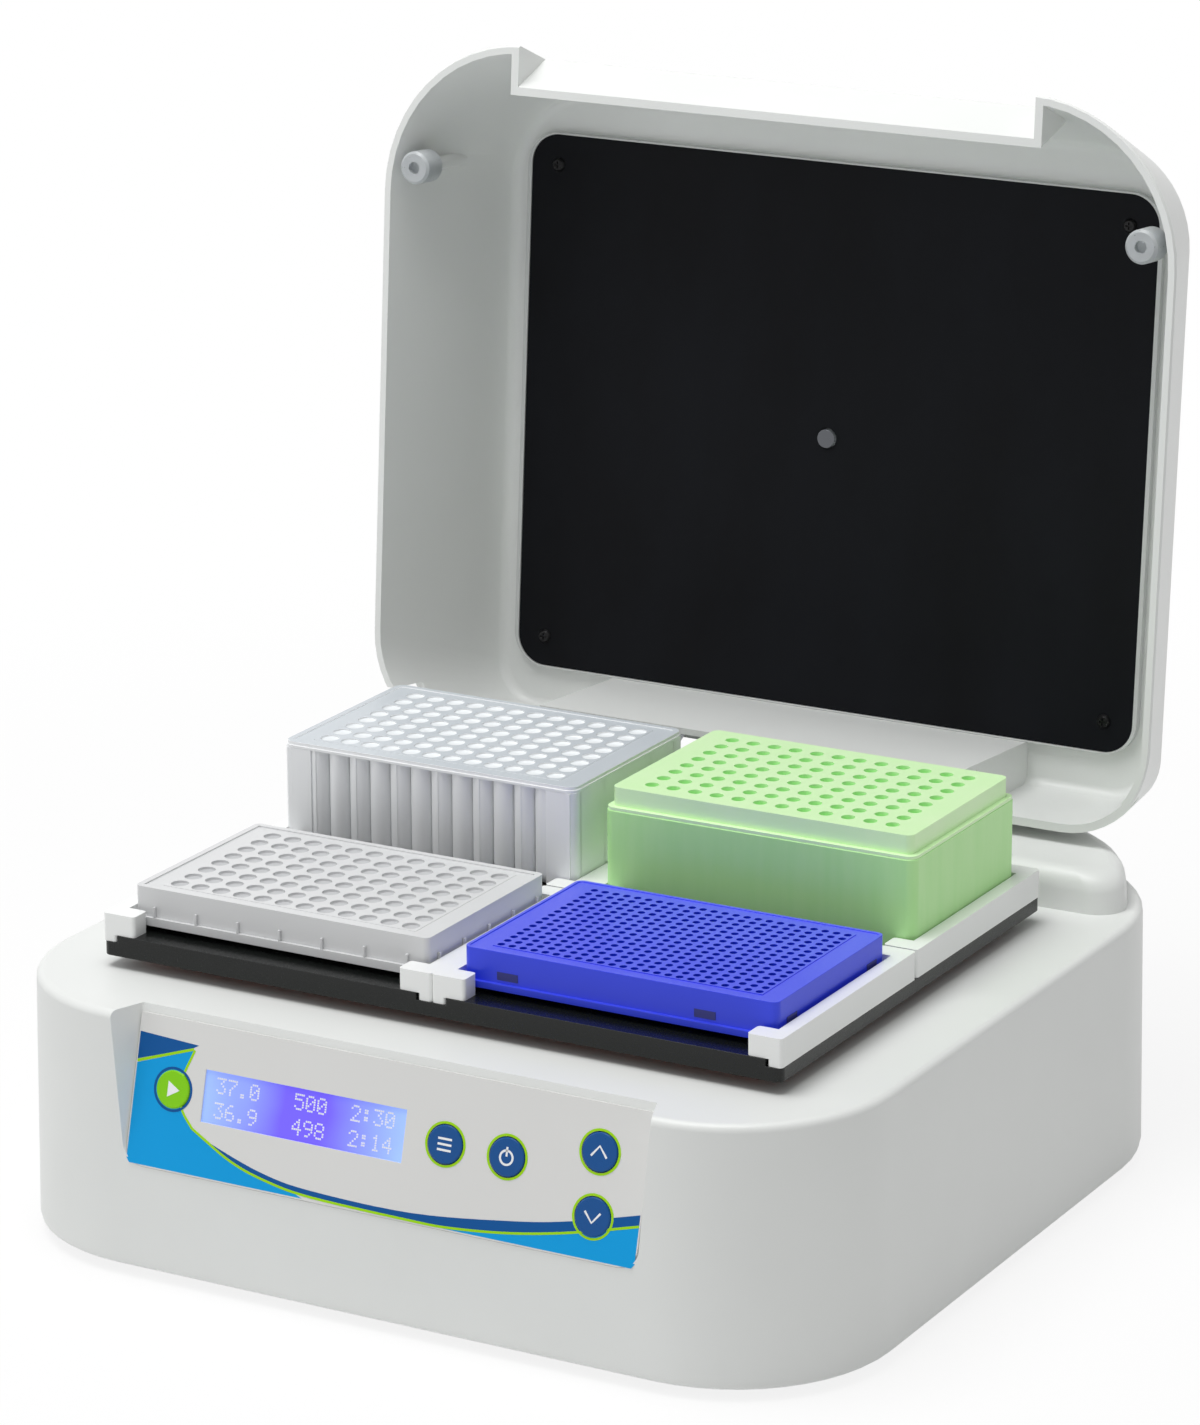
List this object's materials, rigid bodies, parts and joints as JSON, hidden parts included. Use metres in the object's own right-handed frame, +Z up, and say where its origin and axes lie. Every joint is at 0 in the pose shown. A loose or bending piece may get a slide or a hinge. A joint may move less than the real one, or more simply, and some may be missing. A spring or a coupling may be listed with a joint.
{
  "type": "microplate incubator",
  "caption": "Heated orbital incubator for microplates: square rounded casing with a front panel, a shaking tray with plate holders and a deep hinged heated lid.",
  "frame": {"origin": "middle of the floor area that the machine covers with its lid open, on the bench top", "axes": "+X to the operator's right, +Y away from the operator towards the hinge, +Z up"},
  "size_m": [0.346, 0.3618, 0.4032],
  "materials": {
    "casing_plastic": "fine moulded ABS, pale grey white",
    "lid_plastic": "fine moulded ABS, pale grey white",
    "rail_plastic": "moulded white plastic",
    "pan_steel": "powder coated sheet",
    "foot_rubber": "soft rubber",
    "bumper_silicone": "translucent silicone",
    "screw_steel": "zinc plated",
    "black_screw": "black oxide",
    "overlay_film": "printed polyester film",
    "lcd_glass": "backlit display",
    "start_key": "embossed key, lime green",
    "blue_key": "embossed key, blue",
    "board_laminate": "solder masked laminate",
    "sheet_steel": "zinc plated sheet",
    "chassis_aluminium": "milled",
    "bearing_steel": "ground steel",
    "shaft_steel": "turned steel",
    "weight_iron": "machined cast iron",
    "motor_black": "black painted can",
    "belt_rubber": "moulded belt",
    "bushing_bronze": "sintered bronze",
    "tray_anodised": "black anodised",
    "mat_silicone": "silicone heater mat",
    "heater_anodised": "black anodised sheet",
    "trim_plastic": "pale moulded edge",
    "sensor_steel": "polished sensor cap",
    "fitting_black": "black moulded nylon",
    "plate_grey": "translucent polypropylene",
    "plate_blue": "blue polypropylene",
    "plate_clear": "clear polypropylene",
    "rack_green": "green polypropylene",
    "rack_deck_green": "pale green polypropylene"
  },
  "bodies": {
    "base": {"upper_housing": "casing_plastic", "bottom_pan": "pan_steel", "feet": "foot_rubber", "pan_screws": "screw_steel", "panel_overlay": "overlay_film", "lcd_module": "lcd_glass", "control_board": "board_laminate", "power_supply": "sheet_steel", "chassis_plate": "chassis_aluminium", "chassis_posts": "sheet_steel", "bearing_housing": "chassis_aluminium", "shaft_bearings": "bearing_steel", "drive_motor": "motor_black", "drive_belt": "belt_rubber", "idler_bushings": "bushing_bronze", "power_inlet": "fitting_black", "switch_bezel": "fitting_black", "fuse_drawer": "fitting_black", "hinge_brackets": "sheet_steel", "hinge_pins": "shaft_steel"},
    "lid": {"lid_shell": "lid_plastic", "lid_hinge_arms": "sheet_steel", "lid_heater_plate": "heater_anodised", "heater_plate_trim": "trim_plastic", "lid_plate_screws": "black_screw", "lid_sensor": "sensor_steel", "lid_bumpers": "bumper_silicone"},
    "drive_shaft": {"eccentric_shaft": "shaft_steel", "driven_pulley": "chassis_aluminium", "counterweight": "weight_iron"},
    "tray": {"tray_plate": "tray_anodised", "tray_heater_mat": "mat_silicone", "hub_bearing": "bearing_steel", "holder_rail_1": "rail_plastic", "holder_rail_2": "rail_plastic", "holder_rail_3": "rail_plastic", "holder_rail_4": "rail_plastic", "holder_rail_5": "rail_plastic", "holder_rail_6": "rail_plastic", "holder_rail_7": "rail_plastic", "holder_rail_8": "rail_plastic"},
    "rotor": {"motor_rotor": "shaft_steel"},
    "front_left_plate": {"low_plate": "plate_grey"},
    "front_right_plate": {"small_well_plate": "plate_blue"},
    "rear_left_plate": {"deep_well_plate": "plate_clear"},
    "rear_right_rack": {"tube_rack_base": "rack_green", "tube_rack_deck": "rack_deck_green"},
    "power_rocker": {"rocker_switch": "fitting_black"},
    "idler_1": {"idler_crank_1": "shaft_steel"},
    "idler_2": {"idler_crank_2": "shaft_steel"},
    "idler_3": {"idler_crank_3": "shaft_steel"},
    "idler_4": {"idler_crank_4": "shaft_steel"},
    "start_key": {"start_button": "start_key"},
    "set_key": {"set_button": "blue_key"},
    "off_key": {"off_button": "blue_key"},
    "up_key": {"up_button": "blue_key"},
    "down_key": {"down_button": "blue_key"}
  },
  "joints": [
    {"name": "lid_hinge", "type": "hinge", "parent": "base", "child": "lid", "pos_m": [0, 0.10905, 0.115], "axis": [-1, 0, 0], "range_deg": [-94.2, 0]},
    {"name": "shaft_turn", "type": "hinge", "parent": "base", "child": "drive_shaft", "pos_m": [-0.0015, -0.03495, 0.08], "axis": [0, 0, 1], "continuous": true},
    {"name": "tray_on_crank", "type": "hinge", "parent": "drive_shaft", "child": "tray", "pos_m": [0, -0.03495, 0.102], "axis": [0, 0, 1], "continuous": true},
    {"name": "idler_turn_1", "type": "hinge", "parent": "base", "child": "idler_1", "pos_m": [-0.1065, -0.10495, 0.08], "axis": [0, 0, 1], "continuous": true},
    {"name": "idler_turn_2", "type": "hinge", "parent": "base", "child": "idler_2", "pos_m": [0.1035, -0.10495, 0.08], "axis": [0, 0, 1], "continuous": true},
    {"name": "idler_turn_3", "type": "hinge", "parent": "base", "child": "idler_3", "pos_m": [-0.1065, 0.03505, 0.08], "axis": [0, 0, 1], "continuous": true},
    {"name": "idler_turn_4", "type": "hinge", "parent": "base", "child": "idler_4", "pos_m": [0.1035, 0.03505, 0.08], "axis": [0, 0, 1], "continuous": true},
    {"name": "rotor_turn", "type": "hinge", "parent": "base", "child": "rotor", "pos_m": [-0.0015, 0.04905, 0.08], "axis": [0, 0, 1], "continuous": true},
    {"name": "front_left_plate_lift", "type": "slide", "parent": "tray", "child": "front_left_plate", "axis": [0, 0, 1], "range_m": [0, 0.06]},
    {"name": "front_right_plate_lift", "type": "slide", "parent": "tray", "child": "front_right_plate", "axis": [0, 0, 1], "range_m": [0, 0.06]},
    {"name": "rear_left_plate_lift", "type": "slide", "parent": "tray", "child": "rear_left_plate", "axis": [0, 0, 1], "range_m": [0, 0.06]},
    {"name": "rear_right_rack_lift", "type": "slide", "parent": "tray", "child": "rear_right_rack", "axis": [0, 0, 1], "range_m": [0, 0.06]},
    {"name": "start_press", "type": "slide", "parent": "base", "child": "start_key", "axis": [0, 0.9681, -0.2504], "range_m": [0, 0.0008], "stiffness_N_per_m": 600, "springref_m": -0.0006},
    {"name": "set_press", "type": "slide", "parent": "base", "child": "set_key", "axis": [0, 0.9681, -0.2504], "range_m": [0, 0.0008], "stiffness_N_per_m": 600, "springref_m": -0.0006},
    {"name": "off_press", "type": "slide", "parent": "base", "child": "off_key", "axis": [0, 0.9681, -0.2504], "range_m": [0, 0.0008], "stiffness_N_per_m": 600, "springref_m": -0.0006},
    {"name": "up_press", "type": "slide", "parent": "base", "child": "up_key", "axis": [0, 0.9681, -0.2504], "range_m": [0, 0.0008], "stiffness_N_per_m": 600, "springref_m": -0.0006},
    {"name": "down_press", "type": "slide", "parent": "base", "child": "down_key", "axis": [0, 0.9681, -0.2504], "range_m": [0, 0.0008], "stiffness_N_per_m": 600, "springref_m": -0.0006},
    {"name": "rocker_tilt", "type": "hinge", "parent": "base", "child": "power_rocker", "pos_m": [-0.022, 0.15249, 0.04], "axis": [1, 0, 0], "range_deg": [0, 17.5]}
  ],
  "couplings": [
    {"joint": "tray_on_crank", "follows": "shaft_turn", "ratio": -1},
    {"joint": "idler_turn_1", "follows": "shaft_turn", "ratio": 1},
    {"joint": "idler_turn_2", "follows": "shaft_turn", "ratio": 1},
    {"joint": "idler_turn_3", "follows": "shaft_turn", "ratio": 1},
    {"joint": "idler_turn_4", "follows": "shaft_turn", "ratio": 1},
    {"joint": "rotor_turn", "follows": "shaft_turn", "ratio": 1}
  ]
}
